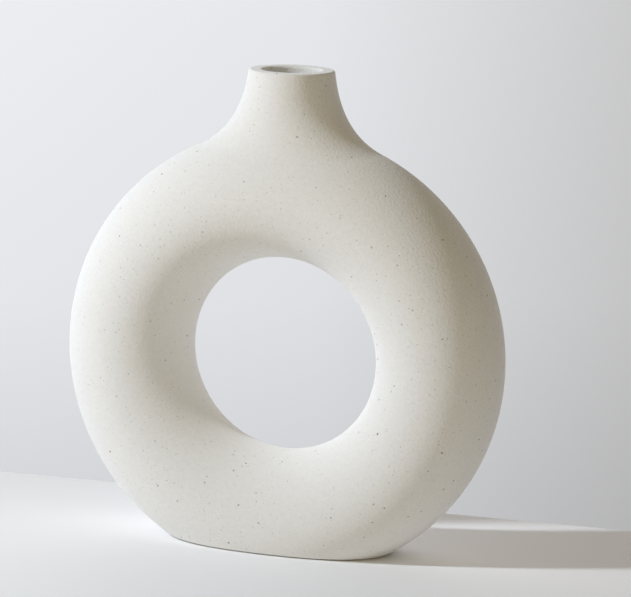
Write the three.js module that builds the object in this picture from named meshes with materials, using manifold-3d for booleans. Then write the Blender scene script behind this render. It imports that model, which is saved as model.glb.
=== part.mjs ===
// A ring vase in speckled stoneware: a hollow ring that stands on its edge, with a flared neck on its
// crown and a flat foot. It is built as a potter builds it, from two pressed half rings, a neck and a
// foot slab, and layers of slip (liquid clay) that join them.
//
// Millimetres. X runs along the ring's width, Y from front to back, Z up. The origin is on the table,
// under the middle of the foot.

import * as THREE from 'three';
import { LoftGeometry } from 'three/addons/geometries/LoftGeometry.js';
import { mergeVertices } from 'three/addons/utils/BufferGeometryUtils.js';
import Module from 'manifold-3d';

const wasm = await Module();
wasm.setup();

// Driving dimensions: the ring
const RING_WIDTH = 210; // outside diameter, seen from the front
const TUBE_DIAMETER = 59.2; // the ring's round section, which is also the vase's depth
const RING_WALL = 5;
const HOLE_CENTRE_HEIGHT = 90.3; // from the table to the centre of the hole

// Driving dimensions: the neck
const NECK_RISE = 27.6; // from the ring's crown to the top of the lip
const MOUTH_DIAMETER = 39.6; // over the outside of the lip
const LIP_WALL = 6.3;
const LIP_ROUND = 1.2; // edge radius of the lip
const NECK_TAPER = 8; // degrees by which the neck widens below the lip
const NECK_STRAIGHT = 14; // pull of the neck's straight upper stretch on its curve
const SHOULDER_PULL_ALONG = 18; // pull of the crown on the shoulder's curve, along the ring
const SHOULDER_PULL_ACROSS = 16.5; // the same, across the tube
const SHOULDER_ALONG = 24.8; // degrees around the ring's centre from the crown to the shoulder's hem
const SHOULDER_ACROSS = 57.6; // degrees around the tube from the crown to the shoulder's hem

// Driving dimensions: the foot and the joints
const FOOT_LENGTH = 107.2; // of the foot's outline at the table, along the ring's width
const FOOT_WIDTH = 51.2; // the same, from front to back
const FOOT_THICKNESS = 6.5;
const FOOT_EDGE_RISE = 1.2; // height of the foot's softened edge
const FOOT_EDGE_REACH = 3; // how far the same edge draws in under the foot
const SLIP = 1.2; // thickness of each layer of slip
const SEAT_GAP = 0.3; // clearance at joints with curved or trimmed faces

// Facets
const RING_STEPS = 64;
const TUBE_STEPS = 12; // around half of the tube's outside
const BORE_STEPS = 10; // around half of the tube's inside
const COLUMNS = 48; // around the neck and the foot
const NECK_ROWS = 8; // along the neck's curve
const FOOT_ROWS = 2; // up the foot's side
const ROUND_STEPS = 3; // along a rounded edge
const WELD = 1e-4; // points closer than this are one point

// Sizes that follow
const tubeRadius = TUBE_DIAMETER / 2;
const boreRadius = tubeRadius - RING_WALL;
const centreRadius = RING_WIDTH / 2 - tubeRadius; // from the hole's centre to the middle of the tube
const mouthRadius = MOUTH_DIAMETER / 2;
const mouthHeight = HOLE_CENTRE_HEIGHT + RING_WIDTH / 2 + NECK_RISE;
const halfSlip = SLIP / 2;
const trimHeight = FOOT_THICKNESS + SLIP + SEAT_GAP; // where the half rings end above the foot
const footSlipTop = FOOT_THICKNESS + SLIP;

const radians = THREE.MathUtils.degToRad;
const lerp = THREE.MathUtils.lerp;

// A solid for cutting and joining, from a closed geometry
function solidOf(geometry) {
  const bare = new THREE.BufferGeometry();
  bare.setAttribute('position', geometry.attributes.position);
  bare.setIndex(geometry.index);
  const merged = mergeVertices(bare, WELD);
  const mesh = new wasm.Mesh({
    numProp: 3,
    vertProperties: new Float32Array(merged.attributes.position.array),
    triVerts: new Uint32Array(merged.index.array),
  });
  return new wasm.Manifold(mesh);
}

// The geometry of a solid that has been cut
function geometryOf(solid) {
  const mesh = solid.getMesh();
  const geometry = new THREE.BufferGeometry();
  geometry.setAttribute('position', new THREE.BufferAttribute(mesh.vertProperties, 3));
  geometry.setIndex(new THREE.BufferAttribute(mesh.triVerts, 1));
  geometry.computeVertexNormals();
  return geometry;
}

// A point on the ring: around is the angle from the crown about the hole's centre, across the angle
// about the middle of the tube, from its outer rim towards the back, and radius the tube's own radius
function onRing(around, across, radius) {
  const reach = centreRadius + radius * Math.cos(across);
  return new THREE.Vector3(
    reach * Math.sin(around),
    radius * Math.sin(across),
    HOLE_CENTRE_HEIGHT + reach * Math.cos(around),
  );
}

// A section of the tube turned about the hole's centre, as a closed ring. Points are (reach, y).
function turned(points) {
  const geometry = new THREE.LatheGeometry([...points, points[0]], RING_STEPS);
  geometry.translate(0, 0, HOLE_CENTRE_HEIGHT);
  return solidOf(geometry);
}

function box(width, depth, height, x, z) {
  const geometry = new THREE.BoxGeometry(width, depth, height);
  geometry.translate(x, 0, z);
  return solidOf(geometry);
}

// The direction along the ring's surface that leads away from the crown at the same two angles
function awayFromCrown(around, across, radius) {
  const reach = centreRadius + radius * Math.cos(across);
  const along = new THREE.Vector3(Math.cos(around), 0, -Math.sin(around));
  const inward = -Math.sin(across);
  const over = new THREE.Vector3(inward * Math.sin(around), Math.cos(across), inward * Math.cos(around));
  return along.multiplyScalar(reach * around).addScaledVector(over, radius * across).normalize();
}

// Angles of the shoulder's hem at a turn about the neck's axis, the hem grown outwards by a margin
function hemAngles(turn, margin) {
  const around = radians(SHOULDER_ALONG) + margin / (centreRadius + tubeRadius);
  const across = radians(SHOULDER_ACROSS) + margin / tubeRadius;
  return [around * Math.cos(turn), across * Math.sin(turn)];
}

// One point for each turn about the vertical axis
function columns(point) {
  return Array.from({ length: COLUMNS }, (_, i) => point((i / COLUMNS) * 2 * Math.PI));
}

// One ring of points on the shoulder's hem, square to the tube's surface at the given tube radius
function hemRow(margin, radius) {
  return columns((turn) => onRing(...hemAngles(turn, margin), radius));
}

// The opening in the ring's crown that takes the neck and its slip
function crownOpening() {
  const margin = SLIP + 2 * SEAT_GAP;
  const inside = hemRow(margin, boreRadius - RING_WALL);
  const outside = hemRow(margin, tubeRadius + RING_WALL);
  const above = outside.map((point) => point.clone().setZ(mouthHeight));
  return solidOf(new LoftGeometry([inside, outside, above], { capStart: true, capEnd: true }));
}

// Everything below a height, as wide as the ring
function below(height) {
  return box(2 * RING_WIDTH, RING_WIDTH, RING_WIDTH, 0, height - RING_WIDTH / 2);
}

const opening = crownOpening();
const trim = below(trimHeight);

// Half of the hollow ring: side is -1 for the front, 1 for the rear. Its rims lie on flat faces half
// the slip away from the middle plane.
function halfShell(side) {
  const points = [];
  const outerRim = Math.asin(halfSlip / tubeRadius);
  const innerRim = Math.asin(halfSlip / boreRadius);
  for (let i = 0; i <= TUBE_STEPS; i++) {
    const across = lerp(outerRim, Math.PI - outerRim, i / TUBE_STEPS);
    const y = i % TUBE_STEPS === 0 ? halfSlip : tubeRadius * Math.sin(across);
    points.push(new THREE.Vector2(centreRadius + tubeRadius * Math.cos(across), side * y));
  }
  for (let i = BORE_STEPS; i >= 0; i--) {
    const across = lerp(innerRim, Math.PI - innerRim, i / BORE_STEPS);
    const y = i % BORE_STEPS === 0 ? halfSlip : boreRadius * Math.sin(across);
    points.push(new THREE.Vector2(centreRadius + boreRadius * Math.cos(across), side * y));
  }
  const half = turned(side > 0 ? points : points.reverse());
  return geometryOf(half.subtract(opening).subtract(trim));
}

// A flat ring of slip between the rims of the two halves: side is 1 for the outer rims, -1 for those
// around the hole
function rimSlip(side) {
  const outer = side * Math.sqrt(tubeRadius ** 2 - halfSlip ** 2);
  const inner = side * Math.sqrt(boreRadius ** 2 - halfSlip ** 2);
  const low = centreRadius + Math.min(outer, inner);
  const high = centreRadius + Math.max(outer, inner);
  return turned([
    new THREE.Vector2(high, -halfSlip),
    new THREE.Vector2(high, halfSlip),
    new THREE.Vector2(low, halfSlip),
    new THREE.Vector2(low, -halfSlip),
  ]);
}

// The outer slip runs from the neck down to the foot on each side: side is -1 for the left, 1 for the
// right
function outerSeam(side) {
  const half = box(RING_WIDTH, RING_WIDTH, 2 * RING_WIDTH, (side * RING_WIDTH) / 2, HOLE_CENTRE_HEIGHT);
  return geometryOf(rimSlip(1).intersect(half).subtract(opening).subtract(trim));
}

// A closed band through rings of points, whose last ring meets the first
function band(rows) {
  return new LoftGeometry([...rows, rows[0]]);
}

// The neck's wall on one side, from the hem up to just under the lip. It leaves the ring along the
// ring's own surface and ends at the lip's radius, leaning in by the taper.
function neckSide(tube, lipRadius) {
  const lean = Math.tan(radians(NECK_TAPER));
  const curves = columns((turn) => {
    const [around, across] = hemAngles(turn, 0);
    const hem = onRing(around, across, tube);
    const away = awayFromCrown(around, across, tube);
    const pull = Math.hypot(SHOULDER_PULL_ALONG * Math.cos(turn), SHOULDER_PULL_ACROSS * Math.sin(turn));
    const out = new THREE.Vector3(Math.cos(turn), Math.sin(turn), 0);
    const lip = out.clone().multiplyScalar(lipRadius).setZ(mouthHeight - LIP_ROUND);
    const down = out.multiplyScalar(lean).setZ(-1).normalize();
    return new THREE.CubicBezierCurve3(
      hem,
      hem.clone().addScaledVector(away, -pull),
      lip.clone().addScaledVector(down, NECK_STRAIGHT),
      lip,
    );
  });
  return Array.from({ length: NECK_ROWS + 1 }, (_, i) => curves.map((c) => c.getPoint(i / NECK_ROWS)));
}

// The lip's rounded edge, from the wall at the given radius over to the flat top
function lipEdge(lipRadius, inward) {
  return Array.from({ length: ROUND_STEPS }, (_, i) => {
    const bend = (((i + 1) / ROUND_STEPS) * Math.PI) / 2;
    const radius = lipRadius + inward * LIP_ROUND * (1 - Math.cos(bend));
    const height = mouthHeight - LIP_ROUND * (1 - Math.sin(bend));
    return columns((turn) => new THREE.Vector3(radius * Math.cos(turn), radius * Math.sin(turn), height));
  });
}

function neck() {
  const outside = [...neckSide(tubeRadius, mouthRadius), ...lipEdge(mouthRadius, -1)];
  const boreOfLip = mouthRadius - LIP_WALL;
  const inside = [...neckSide(boreRadius, boreOfLip), ...lipEdge(boreOfLip, 1)];
  return band([...outside, ...inside.reverse()]);
}

function neckSeam() {
  const near = SEAT_GAP;
  const far = SEAT_GAP + SLIP;
  return band([
    hemRow(far, boreRadius),
    hemRow(far, tubeRadius),
    hemRow(near, tubeRadius),
    hemRow(near, boreRadius),
  ]);
}

// The outline of the ring's tube at a height below the hole's centre, a long oval
function ringSection(height, radius) {
  const drop = HOLE_CENTRE_HEIGHT - height;
  const halfLength = Math.sqrt((centreRadius + radius) ** 2 - drop ** 2);
  return columns((turn) => {
    const x = halfLength * Math.cos(turn);
    const off = Math.hypot(x, drop) - centreRadius;
    const y = Math.sqrt(Math.max(radius ** 2 - off ** 2, 0)) * Math.sign(Math.sin(turn));
    return new THREE.Vector3(x, y, height);
  });
}

// The foot's sides, a curve for each column, from the foot's own outline at the table up to the ring's
// section at the joint, which they meet the way the ring comes down to it
function footSides() {
  const joint = ringSection(FOOT_THICKNESS, tubeRadius);
  const above = ringSection(footSlipTop, tubeRadius);
  const jointLength = 2 * Math.max(...joint.map((point) => point.x));
  const jointWidth = 2 * Math.max(...joint.map((point) => point.y));
  const toTable = new THREE.Vector3(FOOT_LENGTH / jointLength, FOOT_WIDTH / jointWidth, 0);
  const carriedOn = FOOT_THICKNESS / 2 / SLIP;
  return joint.map((point, i) => {
    const table = point.clone().multiply(toTable);
    const slope = point.clone().sub(above[i]);
    return new THREE.QuadraticBezierCurve3(table, slope.multiplyScalar(carriedOn).add(point), point);
  });
}

function footSlab() {
  const sides = footSides();
  const rows = [];
  for (let i = 0; i <= ROUND_STEPS; i++) {
    const bend = ((i / ROUND_STEPS) * Math.PI) / 2;
    const height = FOOT_EDGE_RISE * (1 - Math.cos(bend));
    const inset = FOOT_EDGE_REACH * (1 - Math.sin(bend));
    const drawn = new THREE.Vector3(1 - (2 * inset) / FOOT_LENGTH, 1 - (2 * inset) / FOOT_WIDTH, 1);
    rows.push(sides.map((side) => side.getPoint(height / FOOT_THICKNESS).multiply(drawn)));
  }
  const edge = FOOT_EDGE_RISE / FOOT_THICKNESS;
  for (let i = 1; i <= FOOT_ROWS; i++) {
    rows.push(sides.map((side) => side.getPoint(lerp(edge, 1, i / FOOT_ROWS))));
  }
  return new LoftGeometry(rows, { capStart: true, capEnd: true });
}

function footSeam() {
  return band([
    ringSection(FOOT_THICKNESS, tubeRadius),
    ringSection(footSlipTop, tubeRadius),
    ringSection(footSlipTop, boreRadius),
    ringSection(FOOT_THICKNESS, boreRadius),
  ]);
}

const vase = new THREE.Group();

function addPiece(name, geometry, color, roughness) {
  const material = new THREE.MeshStandardMaterial({ color, roughness, metalness: 0 });
  const mesh = new THREE.Mesh(geometry, material);
  mesh.name = name;
  vase.add(mesh);
}

const FIRED_CLAY = 0xe9e6df;
const FIRED_SLIP = 0xded9cf;
const MATTE = 0.85;
const DRY = 0.95;

addPiece('front_shell', halfShell(-1), FIRED_CLAY, MATTE);
addPiece('rear_shell', halfShell(1), FIRED_CLAY, MATTE);
addPiece('neck', neck(), FIRED_CLAY, MATTE);
addPiece('foot_slab', footSlab(), FIRED_CLAY, MATTE);
addPiece('hole_seam', geometryOf(rimSlip(-1)), FIRED_SLIP, DRY);
addPiece('left_seam', outerSeam(-1), FIRED_SLIP, DRY);
addPiece('right_seam', outerSeam(1), FIRED_SLIP, DRY);
addPiece('neck_seam', neckSeam(), FIRED_SLIP, DRY);
addPiece('foot_seam', footSeam(), FIRED_SLIP, DRY);

export default vase;
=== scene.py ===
# A ring vase in speckled stoneware: two pressed half rings, the slip that joins them, a foot slab and
# a flared neck. Metres. X runs along the ring's width, Y from front to back, Z up, and the origin is on
# the table, under the middle of the foot.

import math

import bmesh
import bpy
import numpy as np
from mathutils import Matrix, Vector


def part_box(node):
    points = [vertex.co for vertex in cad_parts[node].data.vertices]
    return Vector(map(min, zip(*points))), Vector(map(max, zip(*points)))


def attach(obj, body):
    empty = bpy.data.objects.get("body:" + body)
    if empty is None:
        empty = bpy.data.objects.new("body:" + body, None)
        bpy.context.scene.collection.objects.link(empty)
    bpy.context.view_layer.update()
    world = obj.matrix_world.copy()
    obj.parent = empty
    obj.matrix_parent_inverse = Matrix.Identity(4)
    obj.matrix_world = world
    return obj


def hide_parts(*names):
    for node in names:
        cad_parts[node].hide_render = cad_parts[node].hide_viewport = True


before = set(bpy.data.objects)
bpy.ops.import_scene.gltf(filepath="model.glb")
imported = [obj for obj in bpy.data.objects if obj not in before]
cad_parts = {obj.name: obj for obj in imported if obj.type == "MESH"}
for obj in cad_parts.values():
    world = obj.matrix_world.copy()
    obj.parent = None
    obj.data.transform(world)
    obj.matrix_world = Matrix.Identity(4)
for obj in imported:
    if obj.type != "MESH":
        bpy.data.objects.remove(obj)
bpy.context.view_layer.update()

# The two half rings. Each is a slab of speckled stoneware pressed into a mould, trued flat along its
# rims, cut out at the crown for the neck and cut level below for the foot.
front_low, front_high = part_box("front_shell")
hole_low, hole_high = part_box("hole_seam")
foot_slip_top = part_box("foot_seam")[1].z
neck_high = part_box("neck")[1]
tube_radius = -front_low.y
half_slip = -front_high.y  # half the thickness of the slip between the rims
hole_height = (hole_low.z + hole_high.z) / 2  # the hole's centre above the table
centre_radius = front_high.x - math.sqrt(tube_radius**2 - half_slip**2)  # of the tube's middle line
bore_radius = math.hypot(centre_radius - hole_high.x, half_slip)  # of the hollow inside the tube
ring_radius = centre_radius + tube_radius
trim_height = front_low.z  # where the ring is cut level
seat_gap = trim_height - foot_slip_top  # between the cut and the solid of the slip under it
neck_gap = 2 * (half_slip + seat_gap)  # from the neck's hem to the edge of the crown's opening
hem_along = math.asin(neck_high.x / ring_radius)  # from the crown to the hem, about the hole
hem_across = math.asin(neck_high.y / tube_radius)  # the same, about the tube
CROWN_COLUMNS = 28  # beside the opening, on each side of the crown
FLANK_COLUMNS = 64  # from the opening down to the foot
FOOT_COLUMNS = 36  # over the foot, on each side of its middle
TUBE_ROWS = 56  # around half of the tube


def ring_point(around, across, radius):
    """A point of the ring: around is the angle from the crown about the hole, across the angle about
    the tube's middle, from its outer rim towards the back."""
    reach = centre_radius + radius * np.cos(across)
    x = reach * np.sin(around)
    y = radius * np.sin(across)
    z = hole_height + reach * np.cos(around)
    return np.stack([x, y, z], axis=-1)


def ring_normal(around, across):
    """The direction straight out of the tube at the same two angles."""
    x = np.cos(across) * np.sin(around)
    y = np.sin(across)
    z = np.cos(across) * np.cos(around)
    return np.stack([x, y, z], axis=-1)


def hem_angles(turn, margin):
    """The two angles of the neck's hem at a turn about the neck, with the hem grown by a margin."""
    along = hem_along + margin / ring_radius
    across = hem_across + margin / tube_radius
    return along * np.cos(turn), across * np.sin(turn)


def rim_angle(radius):
    """How far a rim's face lies from the middle plane, about the tube."""
    return math.asin(half_slip / radius)


def flank_ends(radius):
    """Where a rim leaves the crown's opening and where it meets the foot, about the hole."""
    low = (hole_height - trim_height) / (centre_radius + radius * math.cos(rim_angle(radius)))
    return hem_angles(0, neck_gap)[0], math.pi - math.acos(low)


def shell_edge(radius):
    """The edge of the rear half ring, at the tube's outside or its bore: beside the opening, down the
    rim, over the foot and back up. Gives the two angles of each column."""
    _, bottom = flank_ends(radius)
    corner = math.acos(rim_angle(radius) / hem_angles(math.pi / 2, neck_gap)[1])
    crown = np.linspace(math.pi / 2, math.pi / 2 - corner, CROWN_COLUMNS)
    around, across = hem_angles(crown, neck_gap)
    flank = np.linspace(around[-1], bottom, FLANK_COLUMNS)[1:-1]
    under = (math.pi - bottom) * np.sin(np.linspace(math.pi / 2, 0, FOOT_COLUMNS))
    level = ((hole_height - trim_height) / np.cos(under) - centre_radius) / radius
    around = np.concatenate([around, flank, math.pi - under])
    across = np.concatenate([across, np.full(len(flank), rim_angle(radius)), np.arccos(level)])
    return np.concatenate([around, -around[-2:0:-1]]), np.concatenate([across, across[-2:0:-1]])


def shell_side(radius, side):
    """The outside or the bore of a half ring, from its edge to its rim around the hole: side is 1 for
    the rear half and -1 for the front one, which is the rear half turned about the neck."""
    around, start = shell_edge(radius)
    share = np.linspace(0, 1, TUBE_ROWS)
    across = start[:, None] * (1 - share) + (math.pi - rim_angle(radius)) * share
    around = np.broadcast_to(around[:, None], across.shape)
    return ring_point(side * around, side * across, radius), ring_normal(side * around, side * across)


def flat_between(first, last):
    """A flat strip from one row of points to another."""
    return np.stack([first, last], axis=1), None


def walls(outside, out_normals, inside, in_normals):
    """The four strips of a wall with an outside and an inside, which face away from each other."""
    inside = inside[:, ::-1]
    return [
        (outside, out_normals),
        flat_between(outside[:, -1], inside[:, 0]),
        (inside, -in_normals[:, ::-1]),
        flat_between(inside[:, -1], outside[:, 0]),
    ]


def quad_corners(grid, columns_close):
    """The four corners of each quad in a grid of columns and rows."""
    after = np.roll(grid, -1, axis=0)
    if not columns_close:
        grid, after = grid[:-1], after[:-1]
    return np.stack([grid[:, :-1], after[:, :-1], after[:, 1:], grid[:, 1:]], axis=2)


def clay_body(name, strips, columns_close=True, rows_close=True):
    """A closed body from strips of points by columns and rows. Each strip starts on the row where the
    one before it ends, and shades by its own normals, or flat where it has none, so that the edges
    between strips stay crisp. Ends that don't close get a flat cap."""
    rows = [strip[:, :-1] for strip, _ in strips]
    if not rows_close:
        rows.append(strips[-1][0][:, -1:])
    points = np.concatenate(rows, axis=1)
    number = np.arange(points.shape[0] * points.shape[1]).reshape(points.shape[:2])
    if rows_close:
        number = np.concatenate([number, number[:, :1]], axis=1)
    points = points.reshape(-1, 3)

    quads = quad_corners(number, columns_close)
    corners = points[quads]
    flat = np.cross(corners[:, :, 2] - corners[:, :, 0], corners[:, :, 3] - corners[:, :, 1])
    normals = np.repeat(flat[:, :, None], 4, axis=2)
    first = 0
    for strip, smooth in strips:
        last = first + strip.shape[1] - 1
        if smooth is not None:
            normals[:, first:last] = quad_corners(smooth, columns_close)
        first = last
    normals = normals.reshape(-1, 3)
    normals /= np.linalg.norm(normals, axis=1, keepdims=True)

    caps = []
    if not columns_close:
        caps += [number[0, :-1], number[-1, -2::-1]]
    if not rows_close:
        caps += [number[::-1, 0], number[:, -1]]
    quads = quads.reshape(-1, 4)
    mesh = bpy.data.meshes.new(name)
    mesh.from_pydata(points.tolist(), [], quads.tolist() + [cap.tolist() for cap in caps])
    cap_faces = mesh.polygons[len(quads) :]
    cap_normals = [np.tile(face.normal, (face.loop_total, 1)) for face in cap_faces]
    mesh.shade_smooth()
    mesh.normals_split_custom_set(np.concatenate([normals, *cap_normals]).tolist())
    piece = bpy.data.objects.new(name, mesh)
    bpy.context.collection.objects.link(piece)
    return piece


CLAY_COOL = (0.862, 0.863, 0.856, 1)
CLAY_WARM = (0.88, 0.874, 0.858, 1)
CLAY_SMOOTHEST = 0.78  # roughness between the grains of sand
CLAY_ROUGHEST = 0.94  # the same, on them
CLAY_SHINE = 0.15
CLAY_CHALKINESS = 0.5
CLOUD_SIZE = 0.03  # of the faint patches of the two colours
CLOUD_DETAIL = 3
SAND_COLOUR = (0.62, 0.605, 0.575, 1)
SAND_SIZE = 0.0013
SAND_DETAIL = 3
SAND_FAINT = 0.35  # height in the grain, from 0 to 1, where sand begins to show
SAND_CLEAR = 0.7  # the same, where it shows in full
SAND_TINT = 0.14  # how far it colours the clay there
SAND_HEIGHT = 0.00018
SPECK_COLOUR = (0.085, 0.070, 0.055, 1)
SPECK_EDGE = 0.00022  # width of a speck's soft edge
SPECK_WANDER = 0.0005  # how far a speck's outline strays from a circle
WANDER_DETAIL = 1
# Two kinds of speck: how far apart they lie, their radius, and how strongly they colour the clay.
LARGE_SPECKS = dict(spacing=0.0050, smallest=0.00028, largest=0.00058, palest=0.32, darkest=0.88)
SMALL_SPECKS = dict(spacing=0.0022, smallest=0.00022, largest=0.00046, palest=0.06, darkest=0.38)


def add_node(tree, kind, inputs, **settings):
    """A shader node with its inputs set or linked, by name or by place."""
    made = tree.nodes.new(kind)
    for setting, value in settings.items():
        setattr(made, setting, value)
    for socket, value in inputs.items():
        if isinstance(value, bpy.types.NodeSocket):
            tree.links.new(value, made.inputs[socket])
        else:
            made.inputs[socket].default_value = value
    return made


def speckled_stoneware(name):
    """Matte off-white stoneware: faint clouds, a sandy grain that roughens it, and iron specks of two
    sizes."""
    material = bpy.data.materials.new(name)
    material.use_nodes = True
    tree = material.node_tree
    shader = tree.nodes["Principled BSDF"]
    place = add_node(tree, "ShaderNodeTexCoord", {}).outputs["Object"]

    def calculate(operation, first, second, clamp=False):
        inputs = {0: first, 1: second}
        return add_node(tree, "ShaderNodeMath", inputs, operation=operation, use_clamp=clamp).outputs[0]

    def between(share, lowest, highest, first=0.0, last=1.0):
        """A value that runs from lowest to highest as the share goes from first to last."""
        inputs = {"Value": share, "From Min": first, "From Max": last}
        inputs.update({"To Min": lowest, "To Max": highest})
        return add_node(tree, "ShaderNodeMapRange", inputs).outputs["Result"]

    def noise(size, detail):
        inputs = {"Vector": place, "Scale": 1 / size, "Detail": detail}
        return add_node(tree, "ShaderNodeTexNoise", inputs).outputs

    def stain(amount, under, over):
        inputs = {"Fac": amount, "Color1": under, "Color2": over}
        return add_node(tree, "ShaderNodeMixRGB", inputs).outputs["Color"]

    def shift(operation, inputs):
        return add_node(tree, "ShaderNodeVectorMath", inputs, operation=operation).outputs[0]

    wander = noise(SPECK_WANDER, WANDER_DETAIL)["Color"]
    wander = shift("SCALE", {0: wander, "Scale": SPECK_WANDER})
    strayed = shift("ADD", {0: place, 1: wander})

    def specks(spacing, smallest, largest, palest, darkest):
        """How strongly specks of one kind show: each has its own radius and tone."""
        cells = add_node(tree, "ShaderNodeTexVoronoi", {"Vector": strayed, "Scale": 1 / spacing})
        chance = add_node(tree, "ShaderNodeSeparateColor", {"Color": cells.outputs["Color"]}).outputs
        radius = between(chance["Red"], smallest / spacing, largest / spacing)
        inside = calculate("SUBTRACT", radius, cells.outputs["Distance"])
        soft = calculate("MULTIPLY", inside, spacing / SPECK_EDGE, clamp=True)
        return calculate("MULTIPLY", soft, between(chance["Green"], palest, darkest))

    sand = noise(SAND_SIZE, SAND_DETAIL)["Fac"]
    grains = between(sand, 0, 1, SAND_FAINT, SAND_CLEAR)
    colour = stain(noise(CLOUD_SIZE, CLOUD_DETAIL)["Fac"], CLAY_COOL, CLAY_WARM)
    colour = stain(calculate("MULTIPLY", grains, SAND_TINT), colour, SAND_COLOUR)
    colour = stain(specks(**LARGE_SPECKS), colour, SPECK_COLOUR)
    colour = stain(specks(**SMALL_SPECKS), colour, SPECK_COLOUR)
    tree.links.new(colour, shader.inputs["Base Color"])
    tree.links.new(between(grains, CLAY_SMOOTHEST, CLAY_ROUGHEST), shader.inputs["Roughness"])
    relief = add_node(tree, "ShaderNodeBump", {"Height": sand, "Distance": SAND_HEIGHT})
    tree.links.new(relief.outputs["Normal"], shader.inputs["Normal"])
    shader.inputs["Specular IOR Level"].default_value = CLAY_SHINE
    shader.inputs["Diffuse Roughness"].default_value = CLAY_CHALKINESS
    return material


def set_in_place(piece, node, material):
    """Puts a finished piece in the place of its solid."""
    piece.data.materials.append(material)
    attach(piece, "root")
    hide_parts(node)


clay = speckled_stoneware("speckled_stoneware")
for name, node, side in [("front_half_ring", "front_shell", -1), ("rear_half_ring", "rear_shell", 1)]:
    strips = walls(*shell_side(tube_radius, side), *shell_side(bore_radius, side))
    set_in_place(clay_body(name, strips), node, clay)

# The slip between the rims. Liquid clay is brushed on both half rings before they are pressed together,
# and the bead that squeezes out is sponged flush: once round the hole, and down each side outside.
SLIP_ROWS = 5
HOLE_COLUMNS = 2 * (CROWN_COLUMNS + FLANK_COLUMNS + FOOT_COLUMNS)
slip_clay = speckled_stoneware("sponged_slip")


def rim_slip(ends, columns, middle, radius, close):
    """One face of the slip along a stretch of the rims, centred on an angle about the tube."""
    across = middle + rim_angle(radius) * np.linspace(-1, 1, SLIP_ROWS)
    around = np.linspace(*ends, columns, endpoint=not close)
    around, across = np.meshgrid(around, across, indexing="ij")
    return ring_point(around, across, radius), ring_normal(around, across)


faces = []
for radius in (tube_radius, bore_radius):
    faces += rim_slip((0, 2 * math.pi), HOLE_COLUMNS, math.pi, radius, close=True)
set_in_place(clay_body("hole_slip", walls(*faces)), "hole_seam", slip_clay)

for name, node, side in [("left_slip", "left_seam", -1), ("right_slip", "right_seam", 1)]:
    faces = []
    for radius in (tube_radius, bore_radius):
        ends = sorted(side * angle for angle in flank_ends(radius))
        faces += rim_slip(ends, FLANK_COLUMNS, 0, radius, close=False)
    piece = clay_body(name, walls(*faces), columns_close=False)
    set_in_place(piece, node, slip_clay)

# The foot slab. A rolled slab of the same clay closes the trimmed ring below. Its sides carry on the
# ring's curve down to the table, where the edge is softened with a damp sponge.
foot_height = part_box("foot_slab")[1].z
FOOT_LENGTH = 0.1072  # of its outline at the table, along the ring's width
FOOT_WIDTH = 0.0512  # the same, from front to back
FOOT_EDGE_RISE = 0.0012  # of its softened edge
FOOT_EDGE_REACH = 0.003  # how far the same edge draws in under the foot
FOOT_TURNS = 192  # points around it
FOOT_ROWS = 10  # up its sides
FOOT_EDGE_ROWS = 7


def ring_section(height, radius):
    """The outline of the tube at a height near the table, a long oval, with the tube's normals."""
    drop = hole_height - height
    turn = np.linspace(0, 2 * math.pi, FOOT_TURNS, endpoint=False)
    x = math.sqrt((centre_radius + radius) ** 2 - drop**2) * np.cos(turn)
    reach = np.hypot(x, drop)
    y = np.sqrt(np.maximum(radius**2 - (reach - centre_radius) ** 2, 0)) * np.sign(np.sin(turn))
    swell = 1 - centre_radius / reach
    normals = np.stack([x * swell, y, -drop * swell], axis=-1) / radius
    return np.stack([x, y, np.full(FOOT_TURNS, height)], axis=-1), normals


def grid_normals(points):
    """Normals of a smooth grid whose columns close on themselves."""
    along = np.roll(points, -1, axis=0) - np.roll(points, 1, axis=0)
    normals = np.cross(along, np.gradient(points, axis=1, edge_order=2))
    return normals / np.linalg.norm(normals, axis=-1, keepdims=True)


def foot_sides(heights, insets):
    """Rows of the foot's sides at the given heights, drawn in by the given insets. They leave the ring
    along its own slope and reach the foot's outline at the table."""
    joint, _ = ring_section(foot_height, tube_radius)
    above, _ = ring_section(foot_slip_top, tube_radius)
    table = joint * [FOOT_LENGTH / np.ptp(joint[:, 0]), FOOT_WIDTH / np.ptp(joint[:, 1]), 0]
    halfway = joint + (joint - above) * (foot_height / 2 / (foot_slip_top - foot_height))
    rows = []
    for height, inset in zip(heights, insets):
        rise = height / foot_height
        row = table * (1 - rise) ** 2 + halfway * 2 * rise * (1 - rise) + joint * rise**2
        rows.append(row * [1 - 2 * inset / FOOT_LENGTH, 1 - 2 * inset / FOOT_WIDTH, 1])
    return np.stack(rows, axis=1)


bend = np.linspace(0, math.pi / 2, FOOT_EDGE_ROWS)
edge = foot_sides(FOOT_EDGE_RISE * (1 - np.cos(bend)), FOOT_EDGE_REACH * (1 - np.sin(bend)))
sides = foot_sides(np.linspace(FOOT_EDGE_RISE, foot_height, FOOT_ROWS), np.zeros(FOOT_ROWS))
side_normals = grid_normals(sides)
side_normals[:, -1] = ring_section(foot_height, tube_radius)[1]
edge_normals = grid_normals(edge)
edge_normals[:, 0] = (0, 0, -1)
edge_normals[:, -1] = side_normals[:, 0]
piece = clay_body("foot", [(edge, edge_normals), (sides, side_normals)], rows_close=False)
set_in_place(piece, "foot_slab", clay)

# The slip under the ring. A brushed layer of liquid clay beds the trimmed ring on the foot slab, and
# is wiped smooth with the sides.
FOOT_SLIP_ROWS = 4
foot_slip_heights = np.linspace(foot_height, trim_height, FOOT_SLIP_ROWS)
faces = []
for radius in (tube_radius, bore_radius):
    points, normals = zip(*(ring_section(height, radius) for height in foot_slip_heights))
    faces += [np.stack(points, axis=1), np.stack(normals, axis=1)]
set_in_place(clay_body("foot_slip", walls(*faces)), "foot_seam", slip_clay)

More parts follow.
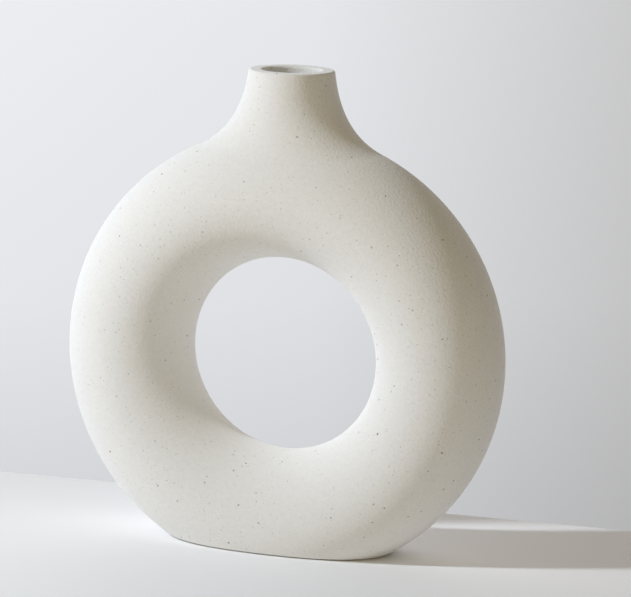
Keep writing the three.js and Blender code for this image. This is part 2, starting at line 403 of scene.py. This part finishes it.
# The slip around the neck's hem. It fills the joint between the shoulder and the crown's opening, and
# is worked flush with a rib so that the shoulder runs into the ring without a line.
NECK_TURNS = 144  # points around it
NECK_SLIP_ROWS = 4
neck_turn = np.linspace(0, 2 * math.pi, NECK_TURNS, endpoint=False)
faces = []
for radius in (tube_radius, bore_radius):
    angles = [hem_angles(neck_turn, margin) for margin in np.linspace(neck_gap, 0, NECK_SLIP_ROWS)]
    around, across = np.stack(angles, axis=-1)
    faces += [ring_point(around, across, radius), ring_normal(around, across)]
set_in_place(clay_body("neck_slip", walls(*faces)), "neck_seam", slip_clay)

# The neck. Thrown as a flared collar, it spreads into a shoulder that lies over the ring's crown, and
# its lip is cut level and softened with a chamois.
MOUTH_RADIUS = 0.0198  # over the outside of the lip
LIP_WALL = 0.0063
LIP_ROUND = 0.0012
NECK_TAPER = math.radians(8)  # the neck's lean below the lip
NECK_STRAIGHT = 0.014  # pull of the straight upper stretch on the neck's curve
SHOULDER_PULL_ALONG = 0.018  # pull of the crown on it, along the ring
SHOULDER_PULL_ACROSS = 0.0165  # the same, across the tube
HEM_STEP = 1e-4  # a short way past the hem, as a share of its angles, which gives the slope there
NECK_ROWS = 48
LIP_ROWS = 9
mouth_height = neck_high.z
turn_out = np.stack([np.cos(neck_turn), np.sin(neck_turn), np.zeros(NECK_TURNS)], axis=-1)
upward = np.array([0, 0, 1])


def lip_edge(radius, facing, first, last):
    """The rounded edge of the lip on its outside (facing 1) or its inside (facing -1), between two
    angles above the level."""
    bend = np.linspace(first, last, LIP_ROWS)[:, None]
    normals = turn_out[:, None] * facing * np.cos(bend) + upward * np.sin(bend)
    middle = turn_out * (radius - facing * LIP_ROUND) + upward * (mouth_height - LIP_ROUND)
    return middle[:, None] + LIP_ROUND * normals, normals


def neck_side(radius, lip):
    """The neck's wall from its hem on the ring's tube, at a tube radius, up to a row of the lip. It
    leaves the ring along the ring's own surface and meets the lip leaning in by the taper."""
    around, across = hem_angles(neck_turn, 0)
    hem = ring_point(around, across, radius)
    away = ring_point(around * (1 + HEM_STEP), across * (1 + HEM_STEP), radius) - hem
    away /= np.linalg.norm(away, axis=-1, keepdims=True)
    pull = np.hypot(SHOULDER_PULL_ALONG * np.cos(neck_turn), SHOULDER_PULL_ACROSS * np.sin(neck_turn))
    shoulder = hem - away * pull[:, None]
    down = turn_out * math.sin(NECK_TAPER) - upward * math.cos(NECK_TAPER)
    collar = lip + down * NECK_STRAIGHT
    rise = np.linspace(0, 1, NECK_ROWS)[:, None]
    curve = [(1 - rise) ** 3, 3 * rise * (1 - rise) ** 2, 3 * rise**2 * (1 - rise), rise**3]
    points = sum(point[:, None] * share for point, share in zip((hem, shoulder, collar, lip), curve))
    normals = grid_normals(points)
    normals[:, 0] = ring_normal(around, across)
    return points, normals


outer_lip, outer_lip_normals = lip_edge(MOUTH_RADIUS, 1, NECK_TAPER, math.pi / 2)
inner_lip, inner_lip_normals = lip_edge(MOUTH_RADIUS - LIP_WALL, -1, math.pi / 2, -NECK_TAPER)
outside, outside_normals = neck_side(tube_radius, outer_lip[:, 0])
inside, inside_normals = neck_side(bore_radius, inner_lip[:, -1])
strips = [
    (outside, outside_normals),
    (outer_lip, outer_lip_normals),
    flat_between(outer_lip[:, -1], inner_lip[:, 0]),
    (inner_lip, inner_lip_normals),
    (inside[:, ::-1], -inside_normals[:, ::-1]),
    flat_between(inside[:, 0], outside[:, 0]),
]
set_in_place(clay_body("neck_and_mouth", strips), "neck", clay)

# The camera, at the photograph's viewing angle: from the right of the front and a little above, with a
# slight roll, and far enough away for the long lens.
VIEW_TURN = math.radians(18.03)  # from the front towards the right
VIEW_RISE = math.radians(11.97)  # above the level
VIEW_ROLL = math.radians(1.59)
VIEW_DISTANCE = 1.4  # from the hole's centre
AIM_RIGHT = 0.01459  # the middle of the picture, from the hole's centre
AIM_UP = 0.02554  # the same, upwards
LENS_LENGTH = 171.9  # in millimetres, as lenses are marked
ring_centre = Vector((0, 0, hole_height))


def towards(turn, rise):
    """A direction at a turn from the front towards the right, at a rise above the level."""
    return Vector((math.sin(turn) * math.cos(rise), -math.cos(turn) * math.cos(rise), math.sin(rise)))


view_back = towards(VIEW_TURN, VIEW_RISE)
view_right = towards(VIEW_TURN + math.pi / 2, 0)
view_axes = Matrix((view_right, view_back.cross(view_right), view_back)).transposed()
view_axes = view_axes @ Matrix.Rotation(VIEW_ROLL, 3, "Z")
aim = ring_centre + view_axes @ Vector((AIM_RIGHT, AIM_UP, 0))
camera_place = ring_centre + view_back * VIEW_DISTANCE
sight_back = (camera_place - aim).normalized()
picture_right = view_axes.col[1].cross(sight_back).normalized()
picture_up = sight_back.cross(picture_right)
picture_axes = Matrix((picture_right, picture_up, sight_back)).transposed()
lens = bpy.data.cameras.new("camera")
lens.lens = LENS_LENGTH
camera = bpy.data.objects.new("camera", lens)
camera.matrix_world = Matrix.Translation(camera_place) @ picture_axes.to_4x4()
bpy.context.collection.objects.link(camera)
bpy.context.scene.camera = camera
bpy.context.scene.view_settings.view_transform = "Standard"

# The tabletop, which isn't part of the vase. It is a plain board in matte pale paint with rounded
# edges, which carries the foot and takes the shadow.
TABLE_LENGTH = 1.24
TABLE_FRONT = -0.62  # its front edge, from the middle of the foot
TABLE_BACK = 0.0795  # its back edge, the same
TABLE_TURN = math.radians(3.2)  # of these edges from the ring's width
TABLE_THICKNESS = 0.03
TABLE_ROUND = 0.002  # radius of its edges
TABLE_ROUND_STEPS = 4
TABLE_COLOUR = (0.944, 0.943, 0.945, 1)
TABLE_ROUGHNESS = 0.75
TABLE_SHINE = 0.2
board_size = (TABLE_LENGTH, TABLE_BACK - TABLE_FRONT, TABLE_THICKNESS)
board_middle = (0, (TABLE_BACK + TABLE_FRONT) / 2, -TABLE_THICKNESS / 2)
board = bmesh.new()
bmesh.ops.create_cube(board, size=1)
bmesh.ops.scale(board, vec=board_size, verts=board.verts)
bmesh.ops.translate(board, vec=board_middle, verts=board.verts)
mesh = bpy.data.meshes.new("tabletop")
board.to_mesh(mesh)
board.free()
tabletop = bpy.data.objects.new("tabletop", mesh)
tabletop.rotation_euler.z = TABLE_TURN
bpy.context.collection.objects.link(tabletop)
rounding = tabletop.modifiers.new("rounding", "BEVEL")
rounding.width = TABLE_ROUND
rounding.segments = TABLE_ROUND_STEPS
paint = bpy.data.materials.new("pale_paint")
paint.use_nodes = True
paint_shader = paint.node_tree.nodes["Principled BSDF"]
paint_shader.inputs["Base Color"].default_value = TABLE_COLOUR
paint_shader.inputs["Roughness"].default_value = TABLE_ROUGHNESS
paint_shader.inputs["Specular IOR Level"].default_value = TABLE_SHINE
mesh.materials.append(paint)

# The studio light: a small lamp on the left, a little in front, with a grid over it, a warm glow from
# the front and a brighter one from behind. The pale backdrop is only seen, in the picture and in
# reflections. Its tones are painted light: lighter towards the upper left and darker to the right and
# down at the table, as the light falls off over it.
LAMP_TURN = math.radians(-55)  # from the front towards the right
LAMP_RISE = math.radians(33.6)  # above the level
LAMP_DISTANCE = 1.0  # from the hole's centre
LAMP_SIZE = 0.08
LAMP_SPREAD = math.radians(120)  # of its light through the grid, which keeps it off the table below
LAMP_POWER = 3.17
LAMP_COLOUR = (0.83, 0.9, 1.0)
GLOW_TURN = math.radians(169)  # of the glow behind the vase, from the camera towards the right
GLOW_FRONT = (0.66, 0.55, 0.345, 1)
GLOW_SIDES = (0.01, 0.01, 0.01, 1)
GLOW_BACK = (1.465, 1.41, 1.375, 1)
GLOW_REACH = 0.2  # where the glows fade into the sides, as a share of their axis
# The backdrop's tones below are painted light falloff. They light nothing.
BACKDROP_LEFT = (0.79, 0.795, 0.825, 1)
BACKDROP_MIDDLE = (0.735, 0.745, 0.77, 1)
BACKDROP_RIGHT = (0.555, 0.555, 0.56, 1)
BACKDROP_TOP = (1.08, 1.08, 1.08, 1)  # its tone at the top of the picture, against the middle
BACKDROP_LEVEL = (1, 1, 1, 1)  # the same, level with the middle
BACKDROP_BOTTOM = (0.83, 0.83, 0.83, 1)  # the same, down at the table
BACKDROP_SPREAD = 0.105  # from the middle of the picture to its edge, as a share of the distance
BACKDROP_DROP = 0.075  # from the middle down to the table, the same
BACKDROP_FAR = 0.4  # where the backdrop is pale again, to the right of the picture, the same

lamp = bpy.data.lights.new("lamp", "AREA")
lamp.shape = "DISK"
lamp.size = LAMP_SIZE
lamp.spread = LAMP_SPREAD
lamp.energy = LAMP_POWER
lamp.color = LAMP_COLOUR
lamp_stand = bpy.data.objects.new("lamp", lamp)
bpy.context.collection.objects.link(lamp_stand)
lamp_side = towards(LAMP_TURN, LAMP_RISE)
lamp_stand.location = ring_centre + lamp_side * LAMP_DISTANCE
lamp_stand.rotation_euler = lamp_side.to_track_quat("Z", "Y").to_euler()

studio = bpy.data.worlds.new("studio")
studio.use_nodes = True
bpy.context.scene.world = studio
studio_tree = studio.node_tree
direction = add_node(studio_tree, "ShaderNodeTexCoord", {}).outputs["Generated"]


def by_direction(axis, stops):
    """A colour that changes along an axis. Each stop is a direction's share of the axis and a colour."""
    inputs = {0: direction, 1: axis}
    along = add_node(studio_tree, "ShaderNodeVectorMath", inputs, operation="DOT_PRODUCT")
    colour = stops[0][1]
    for (start, _), (end, next_colour) in zip(stops, stops[1:]):
        inputs = {"Value": along.outputs["Value"], "From Min": start, "From Max": end}
        share = add_node(studio_tree, "ShaderNodeMapRange", inputs).outputs["Result"]
        inputs = {"Fac": share, "Color1": colour, "Color2": next_colour}
        colour = add_node(studio_tree, "ShaderNodeMixRGB", inputs).outputs["Color"]
    return colour


front_to_back = towards(VIEW_TURN + GLOW_TURN, 0)
glow_stops = [(-1, GLOW_FRONT), (-GLOW_REACH, GLOW_SIDES), (GLOW_REACH, GLOW_SIDES), (1, GLOW_BACK)]
glow_inputs = {"Color": by_direction(front_to_back, glow_stops)}
glow = add_node(studio_tree, "ShaderNodeBackground", glow_inputs).outputs[0]
# The backdrop's painted light falloff, across the picture and down it.
backdrop_across = [
    (-BACKDROP_SPREAD, BACKDROP_LEFT),
    (0, BACKDROP_MIDDLE),
    (BACKDROP_SPREAD, BACKDROP_RIGHT),
    (BACKDROP_FAR, BACKDROP_LEFT),
]
backdrop_down = [
    (-BACKDROP_SPREAD, BACKDROP_TOP),
    (0, BACKDROP_LEVEL),
    (BACKDROP_DROP, BACKDROP_BOTTOM),
]
backdrop_inputs = {
    "Color": by_direction(picture_right, backdrop_across),
    "Strength": by_direction(-picture_up, backdrop_down),
}
backdrop = add_node(studio_tree, "ShaderNodeBackground", backdrop_inputs).outputs[0]
path = add_node(studio_tree, "ShaderNodeLightPath", {}).outputs
seen = path["Is Camera Ray"]
for ray in ("Is Glossy Ray", "Is Transmission Ray"):
    inputs = {0: seen, 1: path[ray]}
    seen = add_node(studio_tree, "ShaderNodeMath", inputs, operation="MAXIMUM").outputs[0]
surface = add_node(studio_tree, "ShaderNodeMixShader", {0: seen, 1: glow, 2: backdrop})
studio_tree.links.new(surface.outputs[0], studio_tree.nodes["World Output"].inputs["Surface"])
